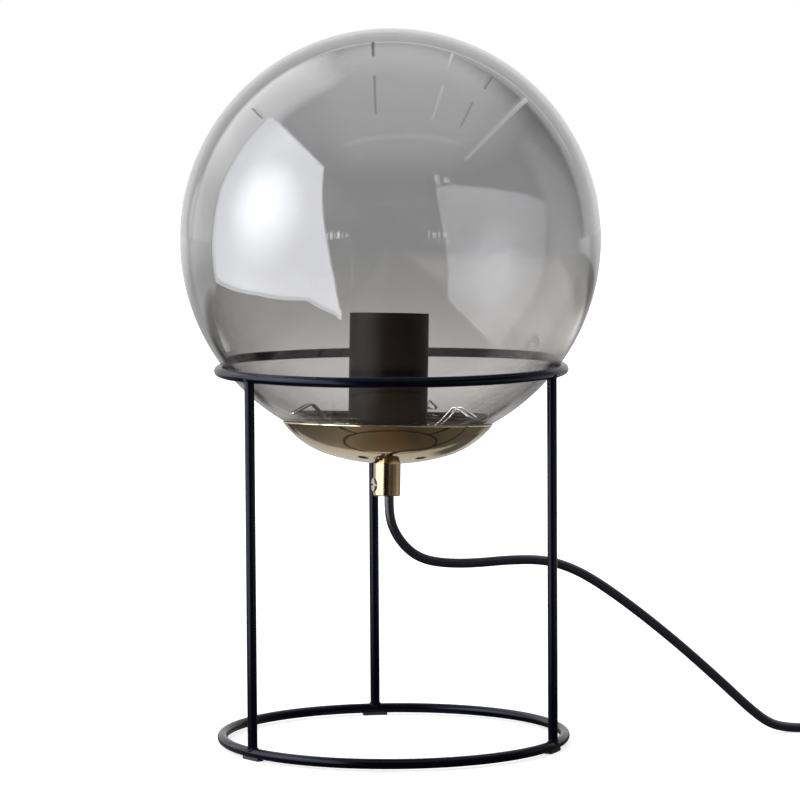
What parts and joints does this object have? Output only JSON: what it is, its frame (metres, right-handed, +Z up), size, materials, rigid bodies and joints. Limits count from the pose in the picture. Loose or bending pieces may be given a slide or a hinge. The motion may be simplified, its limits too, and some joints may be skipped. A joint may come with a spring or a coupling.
{
  "type": "table lamp",
  "caption": "Table lamp with a smoked glass ball resting in the upper ring of an open black rod stand, closed below by a polished brass bowl with a cord grip.",
  "frame": {"origin": "on the table, under the middle of the two rings of the stand", "axes": "+Z up; the viewer looks along +Y with +X to the right; the cord leaves toward +X"},
  "size_m": [0.5557, 0.2549, 0.4262],
  "materials": {
    "black_steel": "satin black powder coat",
    "black_rubber": "matt",
    "smoked_glass": "clear polished, smoke grey, paler at the mouth",
    "polished_brass": "polished, warm antique brass",
    "zinc_steel": "zinc plated",
    "spring_wire": "bright drawn wire",
    "nickel_screw": "nickel plated",
    "black_cover": "matt black lacquer",
    "holder_insulator": "matt moulded black",
    "contact_brass": "bright rolled",
    "cord_jacket": "semi-matt black jacket",
    "brown_core": "brown insulation",
    "blue_core": "blue insulation",
    "switch_plastic": "semi-gloss black",
    "plug_plastic": "matt black moulding",
    "plug_nickel": "nickel plated"
  },
  "bodies": {
    "stand": {"bottom_ring": "black_steel", "top_ring": "black_steel", "leg_back": "black_steel", "leg_front_left": "black_steel", "leg_front_right": "black_steel", "foot_pad_back": "black_rubber", "foot_pad_front_left": "black_rubber", "foot_pad_front_right": "black_rubber", "cord_lead": "cord_jacket", "cord_run": "cord_jacket", "cord_coil": "cord_jacket", "cord_tail": "cord_jacket", "switch_base": "switch_plastic", "switch_cover": "switch_plastic", "switch_screws": "zinc_steel", "switch_contacts": "contact_brass", "switch_cores": "brown_core", "plug_body": "plug_plastic", "plug_pins": "plug_nickel", "plug_strain_relief": "plug_plastic"},
    "fitting": {"brass_bowl": "polished_brass", "rim_gasket": "black_rubber", "cord_grip": "polished_brass", "threaded_tube": "zinc_steel", "toothed_washer": "zinc_steel", "bowl_nut": "zinc_steel", "lock_nut": "zinc_steel", "holder_nut": "zinc_steel", "clip_plate": "zinc_steel", "spring_clip_1": "spring_wire", "spring_clip_2": "spring_wire", "spring_clip_3": "spring_wire", "holder_cover": "black_cover", "holder_spacer": "holder_insulator", "lampholder_body": "holder_insulator", "lampholder_base": "holder_insulator", "screw_shell": "contact_brass", "contact_leaf": "contact_brass", "side_contact": "contact_brass", "terminal_live": "contact_brass", "terminal_neutral": "contact_brass", "terminal_screws": "zinc_steel", "cord_inner": "cord_jacket", "wire_live": "brown_core", "wire_neutral": "blue_core"},
    "glass": {"glass_globe": "smoked_glass"},
    "clamp_screw": {"cord_clamp_screw": "nickel_screw"},
    "contact": {"centre_contact": "contact_brass"},
    "rocker": {"switch_rocker": "switch_plastic"}
  },
  "joints": [
    {"name": "head_lift", "type": "slide", "parent": "stand", "child": "fitting", "axis": [0, 0, 1], "range_m": [0, 0.1]},
    {"name": "glass_off", "type": "slide", "parent": "fitting", "child": "glass", "axis": [0.0209, 0.061, 0.9979], "range_m": [0, 0.1], "deforming": ["spring_clip_1", "spring_clip_2", "spring_clip_3"]},
    {"name": "clamp_screw_turn", "type": "hinge", "parent": "fitting", "child": "clamp_screw", "pos_m": [-0.00304, -0.00889, 0.15583], "axis": [-0.9654, -0.2583, 0.036], "continuous": true},
    {"name": "contact_press", "type": "slide", "parent": "fitting", "child": "contact", "axis": [-0.0209, -0.061, -0.9979], "range_m": [0, 0.0015], "deforming": ["contact_leaf"]},
    {"name": "switch_rock", "type": "hinge", "parent": "stand", "child": "rocker", "pos_m": [0.314, 0.026, 0.0112], "axis": [0, 1, 0], "range_deg": [0, 18]}
  ]
}
